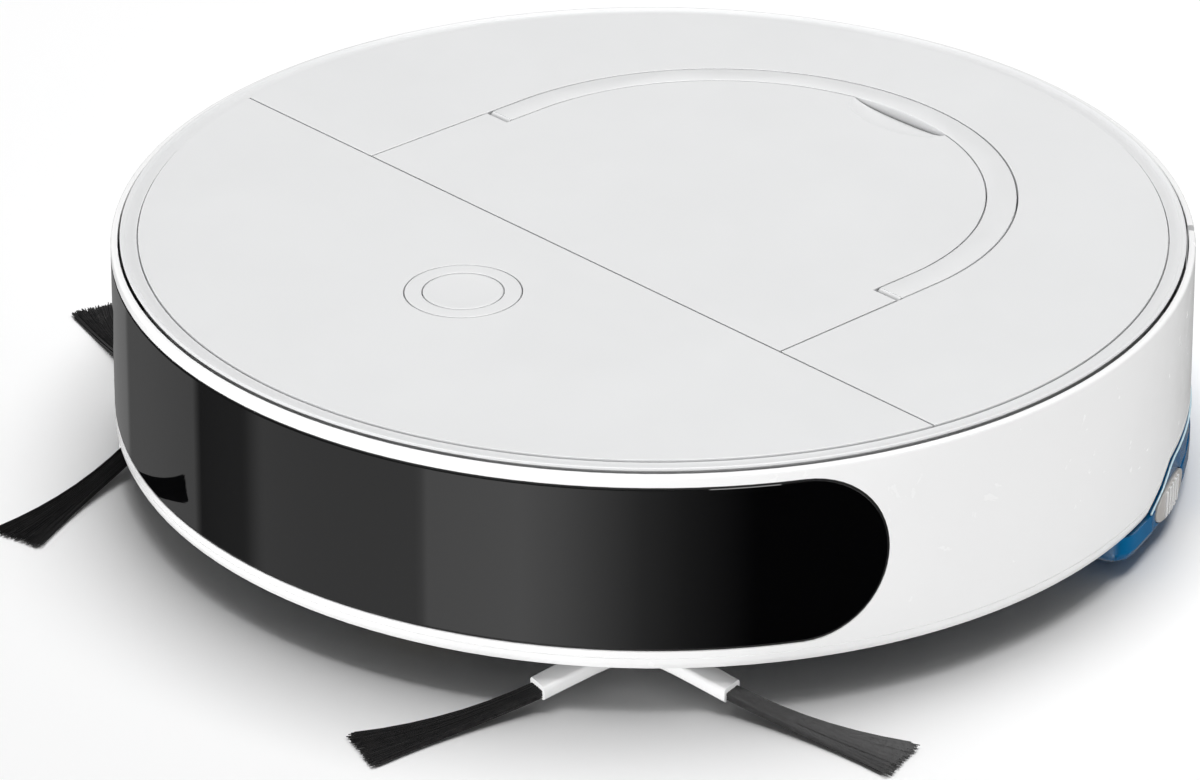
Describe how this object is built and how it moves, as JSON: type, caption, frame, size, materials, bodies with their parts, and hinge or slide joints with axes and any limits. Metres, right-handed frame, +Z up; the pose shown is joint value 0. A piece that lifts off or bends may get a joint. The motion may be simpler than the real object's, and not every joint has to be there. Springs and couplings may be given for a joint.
{
  "type": "robotic floor cleaner",
  "caption": "Low round robot floor cleaner with black sensor window, side brushes, lift-out dust bin and blue rear mop tank.",
  "frame": {"origin": "on the floor, under the centre of the overall bounding box; the round body's centre is 11 mm behind it, because the side brushes reach out in front", "axes": "-Y is the front (sensor window, side brushes); +X is to the right of a viewer who faces the front; +Z is up"},
  "size_m": [0.3821, 0.3575, 0.0759],
  "materials": {
    "white_shell": "glossy",
    "top_panel": "satin",
    "inner_frame": "matte",
    "dark_plastic": "matte",
    "gloss_black": "glossy",
    "battery_wrap": "satin",
    "contact_brass": "satin",
    "circuit_board": "satin",
    "steel": "satin",
    "impeller_nylon": "matte",
    "smoked_bin": "glossy",
    "filter_paper": "matte",
    "black_rubber": "matte",
    "tyre": "matte",
    "bristle": "satin",
    "blue_tank": "translucent",
    "release_grey": "satin",
    "mop_cloth": "woven"
  },
  "bodies": {
    "chassis": {"base_chassis": "inner_frame", "battery_cover": "inner_frame", "battery_pack": "battery_wrap", "bin_bay": "inner_frame", "fan_housing": "inner_frame", "fan_motor": "steel", "main_board": "circuit_board", "roller_gearbox": "dark_plastic", "roller_guard": "dark_plastic", "side_brush_motor_left": "dark_plastic", "side_brush_motor_right": "dark_plastic", "caster_socket": "dark_plastic", "charging_contact_left": "contact_brass", "charging_contact_right": "contact_brass", "cliff_sensor_left": "gloss_black", "cliff_sensor_right": "gloss_black", "rear_shell": "white_shell", "top_ring": "top_panel", "front_top_panel": "top_panel", "rear_top_panel": "top_panel", "button_ring": "top_panel", "suspension_spring_left": "steel", "suspension_spring_right": "steel"},
    "bumper": {"bumper_shell": "white_shell", "bumper_window": "gloss_black", "sensor_bar": "dark_plastic"},
    "power_button": {"power_button": "top_panel"},
    "dust_bin": {"dust_bin": "smoked_bin", "bin_lid": "top_panel", "handle_pin_left": "steel", "handle_pin_right": "steel", "filter_frame": "dark_plastic", "pleated_filter": "filter_paper"},
    "carry_handle": {"carry_handle": "top_panel"},
    "inlet_flap": {"inlet_flap": "black_rubber"},
    "impeller": {"impeller": "impeller_nylon"},
    "main_roller": {"main_roller": "bristle"},
    "wheel_arm_left": {"wheel_arm_left": "dark_plastic"},
    "wheel_arm_right": {"wheel_arm_right": "dark_plastic"},
    "drive_wheel_left": {"wheel_hub_left": "inner_frame", "tyre_left": "tyre"},
    "drive_wheel_right": {"wheel_hub_right": "inner_frame", "tyre_right": "tyre"},
    "caster_fork": {"caster_fork": "dark_plastic", "caster_axle": "steel"},
    "caster_wheel": {"caster_wheel": "black_rubber"},
    "side_brush_left": {"side_brush_hub_left": "white_shell", "side_brush_tuft_left_1": "bristle", "side_brush_tuft_left_2": "bristle", "side_brush_tuft_left_3": "bristle"},
    "side_brush_right": {"side_brush_hub_right": "white_shell", "side_brush_tuft_right_1": "bristle", "side_brush_tuft_right_2": "bristle", "side_brush_tuft_right_3": "bristle"},
    "water_tank": {"water_tank": "blue_tank", "tank_plug": "black_rubber", "mop_plate": "dark_plastic", "mop_cloth": "mop_cloth"},
    "release_button_left": {"release_button_left": "release_grey"},
    "release_button_right": {"release_button_right": "release_grey"}
  },
  "joints": [
    {"name": "bumper_slide", "type": "slide", "parent": "chassis", "child": "bumper", "axis": [0, 1, 0], "range_m": [0, 0.002], "stiffness_N_per_m": 900},
    {"name": "power_button_press", "type": "slide", "parent": "chassis", "child": "power_button", "axis": [0, 0, -1], "range_m": [0, 0.0008], "stiffness_N_per_m": 1500},
    {"name": "dust_bin_lift", "type": "slide", "parent": "chassis", "child": "dust_bin", "axis": [0, 0, 1], "range_m": [0, 0.08]},
    {"name": "carry_handle_hinge", "type": "hinge", "parent": "dust_bin", "child": "carry_handle", "pos_m": [0, 0.0264, 0.0736], "axis": [1, 0, 0], "range_deg": [0, 88]},
    {"name": "inlet_flap_hinge", "type": "hinge", "parent": "dust_bin", "child": "inlet_flap", "pos_m": [0, 0.0513, 0.046], "axis": [1, 0, 0], "range_deg": [0, 70]},
    {"name": "impeller_spin", "type": "hinge", "parent": "chassis", "child": "impeller", "pos_m": [-0.062, -0.061, 0.055], "axis": [0, 0, 1], "continuous": true},
    {"name": "main_roller_spin", "type": "hinge", "parent": "chassis", "child": "main_roller", "pos_m": [0, 0.016, 0.0224], "axis": [1, 0, 0], "continuous": true},
    {"name": "wheel_arm_left_hinge", "type": "hinge", "parent": "chassis", "child": "wheel_arm_left", "pos_m": [-0.129, -0.029, 0.034], "axis": [-1, 0, 0], "range_deg": [0, 19], "stiffness_Nm_per_rad": 0.25, "springref_deg": 28.65, "deforming": ["suspension_spring_left"]},
    {"name": "drive_wheel_left_spin", "type": "hinge", "parent": "wheel_arm_left", "child": "drive_wheel_left", "pos_m": [-0.1056, 0.008, 0.033], "axis": [1, 0, 0], "continuous": true},
    {"name": "side_brush_left_spin", "type": "hinge", "parent": "chassis", "child": "side_brush_left", "pos_m": [-0.1041, -0.0926, 0.012], "axis": [0, 0, 1], "continuous": true},
    {"name": "release_button_left_press", "type": "slide", "parent": "water_tank", "child": "release_button_left", "axis": [0.9011, -0.4337, 0], "range_m": [0, 0.0022], "stiffness_N_per_m": 1200},
    {"name": "wheel_arm_right_hinge", "type": "hinge", "parent": "chassis", "child": "wheel_arm_right", "pos_m": [0.129, -0.029, 0.034], "axis": [-1, 0, 0], "range_deg": [0, 19], "stiffness_Nm_per_rad": 0.25, "springref_deg": 28.65, "deforming": ["suspension_spring_right"]},
    {"name": "drive_wheel_right_spin", "type": "hinge", "parent": "wheel_arm_right", "child": "drive_wheel_right", "pos_m": [0.1056, 0.008, 0.033], "axis": [1, 0, 0], "continuous": true},
    {"name": "side_brush_right_spin", "type": "hinge", "parent": "chassis", "child": "side_brush_right", "pos_m": [0.1041, -0.0926, 0.012], "axis": [0, 0, 1], "continuous": true},
    {"name": "release_button_right_press", "type": "slide", "parent": "water_tank", "child": "release_button_right", "axis": [-0.9011, -0.4337, 0], "range_m": [0, 0.0022], "stiffness_N_per_m": 1200},
    {"name": "caster_swivel", "type": "hinge", "parent": "chassis", "child": "caster_fork", "pos_m": [0, -0.111, 0.034], "axis": [0, 0, 1], "continuous": true},
    {"name": "caster_roll", "type": "hinge", "parent": "caster_fork", "child": "caster_wheel", "pos_m": [0, -0.107, 0.011], "axis": [1, 0, 0], "continuous": true},
    {"name": "water_tank_slide", "type": "slide", "parent": "chassis", "child": "water_tank", "axis": [0, 1, 0], "range_m": [0, 0.06]}
  ]
}
